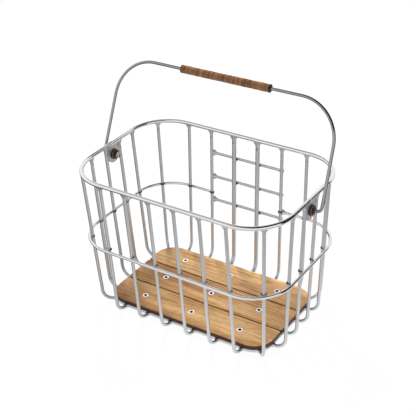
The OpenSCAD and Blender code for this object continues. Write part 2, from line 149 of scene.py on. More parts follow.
def makeGrain():
    # long grain along X: streaks, pores and slow changes of tone across a plank
    group, given, out = newGroup("longGrain",
        [("Vector", "NodeSocketVector", None), ("Shift", "NodeSocketFloat", 0.0)],
        [("Tone", "NodeSocketFloat"), ("Streak", "NodeSocketFloat"), ("Pores", "NodeSocketFloat")])
    shift = addNode(group, "ShaderNodeCombineXYZ")
    join(group, given.outputs["Shift"], shift.inputs["X"])
    join(group, given.outputs["Shift"], shift.inputs["Z"])
    moved = addNode(group, "ShaderNodeVectorMath", operation="ADD")
    join(group, given.outputs["Vector"], moved.inputs[0])
    join(group, shift.outputs[0], moved.inputs[1])
    fields = {}
    for label, scale, detail, rough, bend in (("Tone", (2.2, 16, 16), 3.0, 0.55, 0.6),
                                               ("Streak", (9, 260, 260), 4.0, 0.65, 0.25),
                                               ("Pores", (55, 900, 900), 1.0, 0.5, 0.0)):
        mapping = addNode(group, "ShaderNodeMapping", {"Scale": scale})
        noise = addNode(group, "ShaderNodeTexNoise",
                        {"Scale": 1.0, "Detail": detail, "Roughness": rough, "Distortion": bend})
        join(group, moved.outputs[0], mapping.inputs["Vector"])
        join(group, mapping.outputs[0], noise.inputs["Vector"])
        fields[label] = noise.outputs["Fac"]
    pores = addNode(group, "ShaderNodeMapRange",
                    {"From Min": 0.30, "From Max": 0.42, "To Min": 1.0, "To Max": 0.0})
    join(group, fields["Pores"], pores.inputs["Value"])
    join(group, fields["Tone"], out.inputs["Tone"])
    join(group, fields["Streak"], out.inputs["Streak"])
    join(group, pores.outputs["Result"], out.inputs["Pores"])
    return group


handling = makeHandling()
longGrain = makeGrain()


# finishes
def makeMetal(name, colour, low, high, scale, bump, darker=0.9, metallic=1.0):
    material, tree, shader = newMaterial(name, {"Metallic": metallic})
    place = addNode(tree, "ShaderNodeTexCoord")
    worn = useGroup(tree, handling, {"Low": low, "High": high, "Scale": scale})
    join(tree, place.outputs["Object"], worn.inputs["Vector"])
    tone = addNode(tree, "ShaderNodeMix", data_type="RGBA")
    tone.inputs[6].default_value = (*[c * darker for c in colour], 1)
    tone.inputs[7].default_value = (*colour, 1)
    join(tree, worn.outputs["Mask"], tone.inputs[0])
    join(tree, tone.outputs[2], shader.inputs["Base Color"])
    join(tree, worn.outputs["Roughness"], shader.inputs["Roughness"])
    if bump:
        addRelief(tree, shader, worn.outputs["Height"], bump, 0.0002)
    return material


metals = {
    "rimPolish": makeMetal("rimPolish", (0.92, 0.92, 0.93), 0.10, 0.18, 40.0, 0.0),
    "tubeSatin": makeMetal("tubeSatin", (0.66, 0.67, 0.68), 0.34, 0.44, 60.0, 0.008, 0.92, 0.85),
    "plateSatin": makeMetal("plateSatin", (0.66, 0.67, 0.68), 0.36, 0.50, 90.0, 0.03, 0.8, 0.85),
    "bailPolish": makeMetal("bailPolish", (0.36, 0.36, 0.37), 0.08, 0.16, 50.0, 0.0),
    "nutChrome": makeMetal("nutChrome", (0.70, 0.70, 0.71), 0.08, 0.2, 120.0, 0.02),
    "eyeletNickel": makeMetal("eyeletNickel", (0.97, 0.97, 0.96), 0.25, 0.4, 200.0, 0.02, 0.95, 0.2),
    # the weld grey is partly the dull weld metal's own colour and partly painted shade of the fillets
    # tucked into each crossing
    "weldGreyAndShade": makeMetal("weldGreyAndShade", (0.14, 0.14, 0.145), 0.35, 0.55, 300.0, 0.1, 0.6),
    "ventDark": makeMetal("ventDark", (0.02, 0.02, 0.02), 0.5, 0.8, 300.0, 0.05, 0.5, 0.0),
    # near-black brown barrels: painted shade down the eyelet holes
    "barrelPaintedShade": makeMetal("barrelPaintedShade", (0.03, 0.018, 0.012), 0.5, 0.7, 300.0, 0.1, 0.6, 0.2),
}


# two of these values are painted shade: the darkening of the plank sides stands in for the shade in the
# gaps, and the darkening towards the planks' left ends stands in for light falling off
woodLook = {"edge": 0.0007, "gapPaintedShade": (0.16, 0.095, 0.06), "poreShade": (0.55, 0.42, 0.30),
            "paintedShadeFrom": -0.16, "paintedShadeDepth": 0.66, "streaks": 0.75}


def makeWood():
    material, tree, shader = newMaterial("oiledWood", {"Specular IOR Level": 0.35})
    place = addNode(tree, "ShaderNodeTexCoord")
    tag = addNode(tree, "ShaderNodeAttribute", attribute_name="plankTone")
    grain = useGroup(tree, longGrain)
    join(tree, place.outputs["Object"], grain.inputs["Vector"])
    join(tree, tag.outputs["Fac"], grain.inputs["Shift"])
    body = ramp(tree, [(0.30, (0.30, 0.150, 0.058)), (0.45, (0.46, 0.262, 0.112)),
                       (0.58, (0.60, 0.375, 0.180)), (0.75, (0.72, 0.495, 0.262))])
    join(tree, grain.outputs["Tone"], body.inputs["Fac"])
    streaks = ramp(tree, [(0.34, (0.42, 0.30, 0.20)), (0.46, (0.80, 0.72, 0.62)),
                          (0.58, (1.0, 1.0, 1.0))])
    join(tree, grain.outputs["Streak"], streaks.inputs["Fac"])
    streaked = multiply(tree, woodLook["streaks"], body.outputs[0], streaks.outputs[0])
    pored = darken(tree, grain.outputs["Pores"], streaked, woodLook["poreShade"])
    # the left end of every plank is a darker brown: painted shade, where the light falls off towards the
    # left
    split = addNode(tree, "ShaderNodeSeparateXYZ")
    join(tree, place.outputs["Object"], split.inputs[0])
    leftShade = addNode(tree, "ShaderNodeMapRange", {"From Min": woodLook["paintedShadeFrom"], "From Max": 0.0,
                                                 "To Min": woodLook["paintedShadeDepth"], "To Max": 1.0})
    join(tree, split.outputs["X"], leftShade.inputs["Value"])
    leftShaded = multiply(tree, 1.0, pored, leftShade.outputs["Result"])
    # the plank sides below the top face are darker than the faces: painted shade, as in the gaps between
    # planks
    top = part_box("plank_middle")[1][2]
    side = addNode(tree, "ShaderNodeMapRange", {"From Min": top - woodLook["edge"],
                                                "From Max": top - 0.0001,
                                                "To Min": 1.0, "To Max": 0.0})
    join(tree, split.outputs["Z"], side.inputs["Value"])
    final = darken(tree, side.outputs["Result"], leftShaded, woodLook["gapPaintedShade"])
    join(tree, final, shader.inputs["Base Color"])
    gloss = addNode(tree, "ShaderNodeMapRange", {"To Min": 0.42, "To Max": 0.62})
    join(tree, grain.outputs["Streak"], gloss.inputs["Value"])
    join(tree, gloss.outputs["Result"], shader.inputs["Roughness"])
    addRelief(tree, shader, grain.outputs["Streak"], 0.25, 0.0003)
    return material


def makeLeather():
    material, tree, shader = newMaterial("stackedLeather", {"Specular IOR Level": 0.3})
    place = addNode(tree, "ShaderNodeTexCoord")
    tag = addNode(tree, "ShaderNodeAttribute", attribute_name="discTone")
    noise = addNode(tree, "ShaderNodeTexNoise", {"Scale": 420.0, "Detail": 4.0, "Roughness": 0.65})
    join(tree, place.outputs["Object"], noise.inputs["Vector"])
    mixed = addNode(tree, "ShaderNodeMath", {1: 0.36}, operation="MULTIPLY_ADD")
    join(tree, tag.outputs["Fac"], mixed.inputs[0])
    join(tree, noise.outputs["Fac"], mixed.inputs[2])
    tones = ramp(tree, [(0.30, (0.060, 0.026, 0.013)), (0.55, (0.24, 0.114, 0.054)),
                        (0.80, (0.40, 0.205, 0.104)), (1.0, (0.50, 0.285, 0.150))])
    join(tree, mixed.outputs[0], tones.inputs["Fac"])
    join(tree, tones.outputs[0], shader.inputs["Base Color"])
    gloss = addNode(tree, "ShaderNodeMapRange", {"To Min": 0.5, "To Max": 0.8})
    join(tree, noise.outputs["Fac"], gloss.inputs["Value"])
    join(tree, gloss.outputs["Result"], shader.inputs["Roughness"])
    addRelief(tree, shader, noise.outputs["Fac"], 0.4, 0.0003)
    return material


def makeBlack():
    material, tree, shader = newMaterial("blackNylon", {"Specular IOR Level": 0.5})
    place = addNode(tree, "ShaderNodeTexCoord")
    worn = useGroup(tree, handling, {"Low": 0.28, "High": 0.5, "Scale": 260.0})
    join(tree, place.outputs["Object"], worn.inputs["Vector"])
    tone = addNode(tree, "ShaderNodeMix", data_type="RGBA")
    tone.inputs[6].default_value = (0.006, 0.006, 0.006, 1)
    tone.inputs[7].default_value = (0.022, 0.021, 0.020, 1)
    join(tree, worn.outputs["Mask"], tone.inputs[0])
    join(tree, tone.outputs[2], shader.inputs["Base Color"])
    join(tree, worn.outputs["Roughness"], shader.inputs["Roughness"])
    addRelief(tree, shader, worn.outputs["Height"], 0.1, 0.0002)
    return material


oiledWood = makeWood()
stackedLeather = makeLeather()
blackNylon = makeBlack()
print("finishes made")


# mesh helpers
def dress(piece, material):
    piece.data.materials.clear()
    piece.data.materials.append(material)


def newPiece(name, mesh, material, body, replaced):
    piece = bpy.data.objects.new(name, mesh)
    bpy.context.scene.collection.objects.link(piece)
    if material:
        dress(piece, material)
    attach(piece, body)
    if replaced:
        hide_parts(*replaced)
    return piece


def flatten(source, name):
    # the evaluated object as a plain mesh, with its modifiers gone
    bpy.context.view_layer.update()
    shown = source.evaluated_get(bpy.context.evaluated_depsgraph_get())
    mesh = bpy.data.meshes.new_from_object(shown)
    mesh.name = name
    return mesh


def softened(node, width, steps=3):
    # a merged copy of a CAD node with its edges rounded
    source = nodes[node]
    shape = bmesh.new()
    shape.from_mesh(source.data)
    bmesh.ops.remove_doubles(shape, verts=shape.verts, dist=2e-6)
    bmesh.ops.dissolve_limit(shape, angle_limit=math.radians(1), verts=shape.verts, edges=shape.edges)
    mesh = bpy.data.meshes.new(node + "Shape")
    shape.to_mesh(mesh)
    shape.free()
    helper = bpy.data.objects.new(node + "Helper", mesh)
    bpy.context.scene.collection.objects.link(helper)
    bevel = helper.modifiers.new("edges", "BEVEL")
    bevel.width = width
    bevel.segments = steps
    bevel.limit_method = "ANGLE"
    bevel.angle_limit = math.radians(35)
    bevel.use_clamp_overlap = True
    result = flatten(helper, node + "Soft")
    bpy.data.objects.remove(helper)
    smoothByAngle(result, 40)
    return result


def smoothByAngle(mesh, degrees):
    shape = bmesh.new()
    shape.from_mesh(mesh)
    for face in shape.faces:
        face.smooth = True
    for edge in shape.edges:
        edge.smooth = len(edge.link_faces) != 2 or edge.calc_face_angle(0) < math.radians(degrees)
    shape.to_mesh(mesh)
    shape.free()


def tagFaces(mesh, name, value):
    layer = mesh.attributes.new(name, "FLOAT", "POINT")
    layer.data.foreach_set("value", [value] * len(mesh.vertices))


# wood floor
plankLook = {"round": 0.0008, "tones": {"plank_front": 0.0, "plank_middle": 0.37, "plank_back": 0.81}}
for name, tone in plankLook["tones"].items():
    mesh = softened(name, plankLook["round"])
    tagFaces(mesh, "plankTone", tone)
    newPiece(name.replace("_", "-") + "-board", mesh, oiledWood, "frame", [name])
print("planks made")

# repeated pieces by geometry nodes
def newTree(name, inputs):
    tree = bpy.data.node_groups.new(name, "GeometryNodeTree")
    tree.interface.new_socket(name="Geometry", in_out="INPUT", socket_type="NodeSocketGeometry")
    for label, kind in inputs:
        tree.interface.new_socket(name=label, in_out="INPUT", socket_type=kind)
    tree.interface.new_socket(name="Geometry", in_out="OUTPUT", socket_type="NodeSocketGeometry")
    return tree, addNode(tree, "NodeGroupInput"), addNode(tree, "NodeGroupOutput")


def grow(name, tree, base, values):
    # runs a tree on a small base mesh and returns the plain result
    seed = bpy.data.objects.new(name + "Seed", base)
    bpy.context.scene.collection.objects.link(seed)
    modifier = seed.modifiers.new("grow", "NODES")
    modifier.node_group = tree
    for item in tree.interface.items_tree:
        if item.in_out == "INPUT" and item.name in values:
            modifier[item.identifier] = values[item.name]
    mesh = flatten(seed, name)
    bpy.data.objects.remove(seed)
    return mesh


def pointMesh(name, points, turns=None):
    mesh = bpy.data.meshes.new(name)
    mesh.from_pydata(points, [], [])
    if turns:
        mesh.attributes.new("turn", "FLOAT", "POINT").data.foreach_set("value", turns)
    return mesh


def ringOf(tree, radius, profile, steps):
    # sweeps a closed outline around a circle, which gives a ring with a hole
    path = addNode(tree, "GeometryNodeCurvePrimitiveCircle")
    path.inputs["Resolution"].default_value = steps
    join(tree, radius, path.inputs["Radius"])
    sweep = addNode(tree, "GeometryNodeCurveToMesh")
    join(tree, path.outputs["Curve"], sweep.inputs["Curve"])
    join(tree, profile, sweep.inputs["Profile Curve"])
    return sweep.outputs["Mesh"]


def maths(tree, operation, first, second):
    node = addNode(tree, "ShaderNodeMath", operation=operation)
    for i, value in enumerate((first, second)):
        if isinstance(value, (int, float)):
            node.inputs[i].default_value = value
        else:
            join(tree, value, node.inputs[i])
    return node.outputs[0]


# one of these values is the radius of a dark tube, painted shade in the grooves between the discs
gripLook = {"discStep": 0.00295, "tilt": 2.2, "spread": 0.06, "round": 0.0009, "gap": 0.0007,
            "bore": 0.00285, "shadeCore": 0.0056, "seed": 11}


def makeGripTree():
    tree, given, out = newTree("leatherStack",
        [("Outer radius", "NodeSocketFloat"), ("Inner radius", "NodeSocketFloat"),
         ("Thickness", "NodeSocketFloat"), ("Round", "NodeSocketFloat"),
         ("Tilt", "NodeSocketFloat"), ("Spread", "NodeSocketFloat"), ("Seed", "NodeSocketInt"),
         ("Shade core radius", "NodeSocketFloat"), ("Shade core length", "NodeSocketFloat"),
         ("Shade core centre", "NodeSocketVector")])
    outer, inner = given.outputs["Outer radius"], given.outputs["Inner radius"]
    outline = addNode(tree, "GeometryNodeCurvePrimitiveQuadrilateral")
    join(tree, maths(tree, "SUBTRACT", outer, inner), outline.inputs["Width"])
    join(tree, given.outputs["Thickness"], outline.inputs["Height"])
    eased = addNode(tree, "GeometryNodeFilletCurve", {"Count": 3}, mode="POLY")
    join(tree, outline.outputs["Curve"], eased.inputs["Curve"])
    join(tree, given.outputs["Round"], eased.inputs["Radius"])
    middle = maths(tree, "MULTIPLY", maths(tree, "ADD", outer, inner), 0.5)
    disc = ringOf(tree, middle, eased.outputs["Curve"], 40)
    tilt = addNode(tree, "FunctionNodeRandomValue", data_type="FLOAT_VECTOR")
    low = maths(tree, "MULTIPLY", given.outputs["Tilt"], -1.0)
    for socket, value in ((tilt.inputs[0], low), (tilt.inputs[1], given.outputs["Tilt"])):
        join(tree, value, socket)
    join(tree, given.outputs["Seed"], tilt.inputs["Seed"])
    facing = addNode(tree, "ShaderNodeVectorMath", {1: (0, math.pi / 2, 0)}, operation="ADD")
    join(tree, tilt.outputs[0], facing.inputs[0])
    size = addNode(tree, "FunctionNodeRandomValue", {3: 1.0}, data_type="FLOAT")
    join(tree, maths(tree, "SUBTRACT", 1.0, given.outputs["Spread"]), size.inputs[2])
    join(tree, given.outputs["Seed"], size.inputs["Seed"])
    girth = addNode(tree, "ShaderNodeCombineXYZ", {"Z": 1.0})
    join(tree, size.outputs[1], girth.inputs["X"])
    join(tree, size.outputs[1], girth.inputs["Y"])
    place = addNode(tree, "GeometryNodeInstanceOnPoints")
    join(tree, given.outputs["Geometry"], place.inputs["Points"])
    join(tree, disc, place.inputs["Instance"])
    join(tree, facing.outputs[0], place.inputs["Rotation"])
    join(tree, girth.outputs[0], place.inputs["Scale"])
    tone = addNode(tree, "FunctionNodeRandomValue", data_type="FLOAT")
    join(tree, maths(tree, "ADD", given.outputs["Seed"], 5), tone.inputs["Seed"])
    tag = addNode(tree, "GeometryNodeStoreNamedAttribute", {"Name": "discTone"}, data_type="FLOAT",
                  domain="INSTANCE")
    join(tree, place.outputs[0], tag.inputs["Geometry"])
    join(tree, tone.outputs[1], tag.inputs["Value"])
    real = addNode(tree, "GeometryNodeRealizeInstances")
    join(tree, tag.outputs[0], real.inputs[0])
    # a thinner dark core shows in the grooves between the discs, as painted shade in the grooves
    wall = addNode(tree, "GeometryNodeCurvePrimitiveQuadrilateral")
    join(tree, maths(tree, "SUBTRACT", given.outputs["Shade core radius"], inner), wall.inputs["Width"])
    join(tree, given.outputs["Shade core length"], wall.inputs["Height"])
    half = maths(tree, "MULTIPLY", maths(tree, "ADD", given.outputs["Shade core radius"], inner), 0.5)
    shadeCore = addNode(tree, "GeometryNodeTransform")
    join(tree, ringOf(tree, half, wall.outputs["Curve"], 32), shadeCore.inputs["Geometry"])
    join(tree, given.outputs["Shade core centre"], shadeCore.inputs["Translation"])
    shadeCore.inputs["Rotation"].default_value = (0, math.pi / 2, 0)
    both = addNode(tree, "GeometryNodeJoinGeometry")
    join(tree, shadeCore.outputs[0], both.inputs[0])
    join(tree, real.outputs[0], both.inputs[0])
    finish = addNode(tree, "GeometryNodeSetMaterial", {"Material": stackedLeather})
    join(tree, both.outputs[0], finish.inputs["Geometry"])
    join(tree, finish.outputs[0], out.inputs[0])
    return tree


def makeGrip():
    low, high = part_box("grip_leather")
    length = high[0] - low[0]
    count = round(length / gripLook["discStep"])
    step = length / count
    centreY = (low[1] + high[1]) / 2
    centreZ = (low[2] + high[2]) / 2
    points = [(low[0] + step * (i + 0.5), centreY, centreZ) for i in range(count)]
    mesh = grow("leatherDiscs", makeGripTree(), pointMesh("discPlaces", points), {
        "Outer radius": (high[2] - low[2]) / 2, "Inner radius": gripLook["bore"],
        "Thickness": step - gripLook["gap"], "Round": gripLook["round"],
        "Tilt": math.radians(gripLook["tilt"]),
        "Spread": gripLook["spread"], "Seed": gripLook["seed"], "Shade core radius": gripLook["shadeCore"],
        "Shade core length": length - step, "Shade core centre": (0, centreY, centreZ)})
    smoothByAngle(mesh, 50)
    newPiece("grip-leather-discs", mesh, stackedLeather, "bail", ["grip_leather"])


makeGrip()
print("grip stacked")

eyeletLook = {"outer": 0.0054, "hole": 0.0031, "barrel": 0.0033, "rise": 0.4}


def makeEyeletTree():
    tree, given, out = newTree("dishedEyelet",
        [("Flange radius", "NodeSocketFloat"), ("Hole radius", "NodeSocketFloat"),
         ("Barrel radius", "NodeSocketFloat"), ("Rise", "NodeSocketFloat"),
         ("Depth", "NodeSocketFloat")])
    outer, hole = given.outputs["Flange radius"], given.outputs["Hole radius"]
    rollRadius = maths(tree, "MULTIPLY", maths(tree, "SUBTRACT", outer, hole), 0.5)
    roll = addNode(tree, "GeometryNodeCurvePrimitiveCircle")
    roll.inputs["Resolution"].default_value = 14
    join(tree, rollRadius, roll.inputs["Radius"])
    flange = ringOf(tree, maths(tree, "ADD", hole, rollRadius), roll.outputs["Curve"], 36)
    flatter = addNode(tree, "GeometryNodeTransform")
    squash = addNode(tree, "ShaderNodeCombineXYZ", {"X": 1.0, "Y": 1.0})
    join(tree, given.outputs["Rise"], squash.inputs["Z"])
    join(tree, flange, flatter.inputs["Geometry"])
    join(tree, squash.outputs[0], flatter.inputs["Scale"])
    wall = addNode(tree, "GeometryNodeCurvePrimitiveQuadrilateral")
    barrel, depth = given.outputs["Barrel radius"], given.outputs["Depth"]
    join(tree, maths(tree, "SUBTRACT", barrel, hole), wall.inputs["Width"])
    join(tree, depth, wall.inputs["Height"])
    middle = maths(tree, "MULTIPLY", maths(tree, "ADD", barrel, hole), 0.5)
    tube = ringOf(tree, middle, wall.outputs["Curve"], 28)
    lowered = addNode(tree, "GeometryNodeTransform")
    drop = addNode(tree, "ShaderNodeCombineXYZ")
    join(tree, maths(tree, "MULTIPLY", depth, -0.5), drop.inputs["Z"])
    join(tree, tube, lowered.inputs["Geometry"])
    join(tree, drop.outputs[0], lowered.inputs["Translation"])
    whole = addNode(tree, "GeometryNodeJoinGeometry")
    # the barrels carry painted shade, the dark inside of the eyelet holes; the flanges are nickel
    for shape, finish in ((lowered.outputs[0], "barrelPaintedShade"), (flatter.outputs[0], "eyeletNickel")):
        place = addNode(tree, "GeometryNodeInstanceOnPoints")
        join(tree, given.outputs["Geometry"], place.inputs["Points"])
        join(tree, shape, place.inputs["Instance"])
        real = addNode(tree, "GeometryNodeRealizeInstances")
        join(tree, place.outputs[0], real.inputs[0])
        coat = addNode(tree, "GeometryNodeSetMaterial", {"Material": metals[finish]})
        join(tree, real.outputs[0], coat.inputs["Geometry"])
        join(tree, coat.outputs[0], whole.inputs[0])
    join(tree, whole.outputs[0], out.inputs[0])
    return tree


def makeEyelets():
    low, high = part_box("eyelets")
    radius = eyeletLook["outer"]
    xs = [low[0] + radius, 0, high[0] - radius]
    ys = [low[1] + radius, 0, high[1] - radius]
    top = high[2]
    points = [(x, y, top) for x in xs for y in ys]
    mesh = grow("dishedEyelets", makeEyeletTree(), pointMesh("eyeletPlaces", points), {
        "Flange radius": radius, "Hole radius": eyeletLook["hole"],
        "Barrel radius": eyeletLook["barrel"],
        "Rise": eyeletLook["rise"], "Depth": top - low[2]})
    smoothByAngle(mesh, 60)
    # the tree has already given the flanges their nickel finish and the barrels their painted shade
    newPiece("dished-eyelets", mesh, None, "frame", ["eyelets"])


makeEyelets()
print("eyelets set")

beadLook = {"wide": 0.0047, "deep": 0.0034, "tall": 0.0027, "above": 0.0034, "ragged": 0.0009,
            "gap": 0.0050, "outward": 0.0022, "barOffset": 0.0012, "ringEnds": 0.06, "seed": 3}
cornerRadius = 0.073  # of the centre line of the rim's corner, whose centre the mid ring shares


def makeBeadTree():
    tree, given, out = newTree("weldBead",
        [("Wide", "NodeSocketFloat"), ("Deep", "NodeSocketFloat"), ("Tall", "NodeSocketFloat"),
         ("Ragged", "NodeSocketFloat"), ("Seed", "NodeSocketInt")])
    blob = addNode(tree, "GeometryNodeMeshUVSphere", {"Segments": 16, "Rings": 10, "Radius": 1.0})
    size = addNode(tree, "ShaderNodeCombineXYZ")
    for label, axis in (("Wide", "X"), ("Deep", "Y"), ("Tall", "Z")):
        join(tree, given.outputs[label], size.inputs[axis])
    shaped = addNode(tree, "GeometryNodeTransform")
    join(tree, blob.outputs["Mesh"], shaped.inputs["Geometry"])
    join(tree, size.outputs[0], shaped.inputs["Scale"])
    turn = addNode(tree, "GeometryNodeInputNamedAttribute", {"Name": "turn"}, data_type="FLOAT")
    facing = addNode(tree, "ShaderNodeCombineXYZ")
    join(tree, turn.outputs[0], facing.inputs["Z"])
    scale = addNode(tree, "FunctionNodeRandomValue", {2: 0.82, 3: 1.12}, data_type="FLOAT")
    join(tree, given.outputs["Seed"], scale.inputs["Seed"])
    place = addNode(tree, "GeometryNodeInstanceOnPoints")
    join(tree, given.outputs["Geometry"], place.inputs["Points"])
    join(tree, shaped.outputs[0], place.inputs["Instance"])
    join(tree, facing.outputs[0], place.inputs["Rotation"])
    join(tree, scale.outputs[1], place.inputs["Scale"])
    real = addNode(tree, "GeometryNodeRealizeInstances")
    join(tree, place.outputs[0], real.inputs[0])
    noise = addNode(tree, "ShaderNodeTexNoise", {"Scale": 420.0, "Detail": 1.0})
    centred = addNode(tree, "ShaderNodeVectorMath", {1: (0.5, 0.5, 0.5)}, operation="SUBTRACT")
    join(tree, noise.outputs["Color"], centred.inputs[0])
    push = addNode(tree, "ShaderNodeVectorMath", operation="SCALE")
    join(tree, centred.outputs[0], push.inputs[0])
    join(tree, given.outputs["Ragged"], push.inputs["Scale"])
    rough = addNode(tree, "GeometryNodeSetPosition")
    join(tree, real.outputs[0], rough.inputs["Geometry"])
    join(tree, push.outputs[0], rough.inputs["Offset"])
    finish = addNode(tree, "GeometryNodeSetMaterial", {"Material": metals["weldGreyAndShade"]})
    join(tree, rough.outputs[0], finish.inputs["Geometry"])
    join(tree, finish.outputs[0], out.inputs[0])
    return tree


def middleOf(name):
    low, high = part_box(name)
    return (low[0] + high[0]) / 2, (low[1] + high[1]) / 2


def cornerSpot(half, back, midX, midY):
    # a place on a corner's diagonal, that far inside a ring, with the signs of its side and end
    low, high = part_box("top_rim")
    tube = (high[2] - low[2]) / 2
    side, end = (1 if midX > 0 else -1), (1 if midY > 0 else -1)
    centreX, centreY = high[0] - tube - cornerRadius, high[1] - tube - cornerRadius
    reach = (half - centreX - back) * math.sqrt(0.5)
    return side * (centreX + reach), end * (centreY + reach), side * end


def ringCrossings():
    # where each upright stands inside the middle ring, with the direction of the ring there
    low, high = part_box("mid_ring")
    tube = (high[2] - low[2]) / 2
    halfL, halfW = high[0] - tube, -low[1] - tube
    inset = beadLook["gap"] - beadLook["outward"]
    z = (low[2] + high[2]) / 2 + beadLook["above"]
    spots = []
    for name in nodes:
        if "upright_" not in name:
            continue
        midX, midY = middleOf(name)
        if name.startswith("front_upright"):
            spots.append(((midX, -halfW + inset, z), 0.0))
        elif name.startswith("back_upright") and abs(midX) > beadLook["ringEnds"]:
            spots.append(((midX, halfW - inset, z), 0.0))
        elif name.startswith("left_upright"):
            spots.append(((-halfL + inset, midY, z), math.pi / 2))
        elif name.startswith("right_upright"):
            spots.append(((halfL - inset, midY, z), math.pi / 2))
        elif name.startswith("corner_upright"):
            x, y, sign = cornerSpot(halfL, inset, midX, midY)
            spots.append(((x, y, z), -sign * math.pi / 4))
    return spots


def makeBeads():
    spots = ringCrossings()
    shift = beadLook["barOffset"]
    for bar in ("rear_bar_low", "rear_bar_middle", "rear_bar_high"):
        low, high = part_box(bar)
        z = (low[2] + high[2]) / 2
        for upright in ("back_upright_3", "back_upright_4"):
            spots.append(((middleOf(upright)[0] + shift, low[1] + shift, z), 0.0))
    places = pointMesh("beadPlaces", [p for p, a in spots], [a for p, a in spots])
    mesh = grow("weldBeads", makeBeadTree(), places, {
        "Wide": beadLook["wide"], "Deep": beadLook["deep"], "Tall": beadLook["tall"],
        "Ragged": beadLook["ragged"], "Seed": beadLook["seed"]})
    smoothByAngle(mesh, 80)
    newPiece("weld-beads", mesh, metals["weldGreyAndShade"], "frame", [])


makeBeads()
print("weld beads laid")

ventLook = {"below": 0.014, "thin": 0.00095, "thick": 0.00145, "sunk": 0.0006, "deep": 0.0012,
            "thinSkin": 0.003, "thickSkin": 0.0036}


def makeVentTree():
    tree, given, out = newTree("ventShadow",
        [("Radius", "NodeSocketFloat"), ("Depth", "NodeSocketFloat")])
    plug = addNode(tree, "GeometryNodeMeshCylinder", {"Vertices": 20})
    join(tree, given.outputs["Radius"], plug.inputs["Radius"])
    join(tree, given.outputs["Depth"], plug.inputs["Depth"])
    turn = addNode(tree, "GeometryNodeInputNamedAttribute", {"Name": "turn"}, data_type="FLOAT")
    facing = addNode(tree, "ShaderNodeCombineXYZ", {"Y": math.pi / 2})
    join(tree, turn.outputs[0], facing.inputs["Z"])
    place = addNode(tree, "GeometryNodeInstanceOnPoints")
    join(tree, given.outputs["Geometry"], place.inputs["Points"])
    join(tree, plug.outputs["Mesh"], place.inputs["Instance"])
    join(tree, facing.outputs[0], place.inputs["Rotation"])
    real = addNode(tree, "GeometryNodeRealizeInstances")
    join(tree, place.outputs[0], real.inputs[0])
    finish = addNode(tree, "GeometryNodeSetMaterial", {"Material": metals["ventDark"]})
    join(tree, real.outputs[0], finish.inputs["Geometry"])
    join(tree, finish.outputs[0], out.inputs[0])
    return tree


def ventSpots():
    # the bore of each upright's vent, just under the skin on the inner side
    rimLow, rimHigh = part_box("top_rim")
    ringLow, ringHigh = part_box("mid_ring")
    rimTube = (rimHigh[2] - rimLow[2]) / 2
    ringTube = (ringHigh[2] - ringLow[2]) / 2
    rimZ, ringZ = (rimLow[2] + rimHigh[2]) / 2, (ringLow[2] + ringHigh[2]) / 2
    halfL, halfW = rimHigh[0] - rimTube, rimHigh[1] - rimTube
    lean = (halfL - (ringHigh[0] - ringTube) + beadLook["gap"]) / (rimZ - ringZ)
    inset = lean * ventLook["below"]
    z = rimZ - ventLook["below"]
    spots = {"thin": [], "thick": []}
    for name in nodes:
        if "upright_" not in name:
            continue
        midX, midY = middleOf(name)
        size = "thick" if name in ("back_upright_3", "back_upright_4") else "thin"
        back = inset + ventLook[size + "Skin"] - ventLook["sunk"]
        if name.startswith("front"):
            spot = ((midX, back - halfW, z), math.pi / 2)
        elif name.startswith("back"):
            spot = ((midX, halfW - back, z), math.pi / 2)
        elif name.startswith("left"):
            spot = ((back - halfL, midY, z), 0.0)
        elif name.startswith("right"):
            spot = ((halfL - back, midY, z), 0.0)
        else:
            x, y, sign = cornerSpot(halfL, back, midX, midY)
            spot = ((x, y, z), sign * math.pi / 4)
        spots[size].append(spot)
    return spots


def makeVents():
    tree = makeVentTree()
    for size, spots in ventSpots().items():
        base = pointMesh(size + "VentPlaces", [p for p, a in spots], [a for p, a in spots])
        mesh = grow(size + "Vents", tree, base, {"Radius": ventLook[size], "Depth": ventLook["deep"]})
        newPiece(size + "-vent-shadows", mesh, metals["ventDark"], "frame", [])


makeVents()
print("vents darkened")

# CAD nodes that keep their shape
for name, node in nodes.items():
    if name in ("top_rim", "mid_ring"):
        dress(node, metals["rimPolish"])
    elif name.startswith("pivot_plate"):
        dress(node, metals["plateSatin"])
    elif name == "bail_rod":
        dress(node, metals["bailPolish"])
    elif name.startswith("lock_nut"):
        dress(node, metals["nutChrome"])
    elif name == "eyelets":
        dress(node, metals["eyeletNickel"])
    elif "leather" in name or name == "grip_cap_left":
        dress(node, stackedLeather)
    elif name.startswith(("grip_cap", "pivot_bush")) or "washer" in name:
        dress(node, blackNylon)
    elif not name.startswith("plank"):
        dress(node, metals["tubeSatin"])
print("tubes dressed")

# studio
studio = {"backdrop": 1.0, "fill": 0.60, "floorShade": 0.05, "floorGlow": 0.95,
          "darkSide": (0.62, 0.18, 0)}


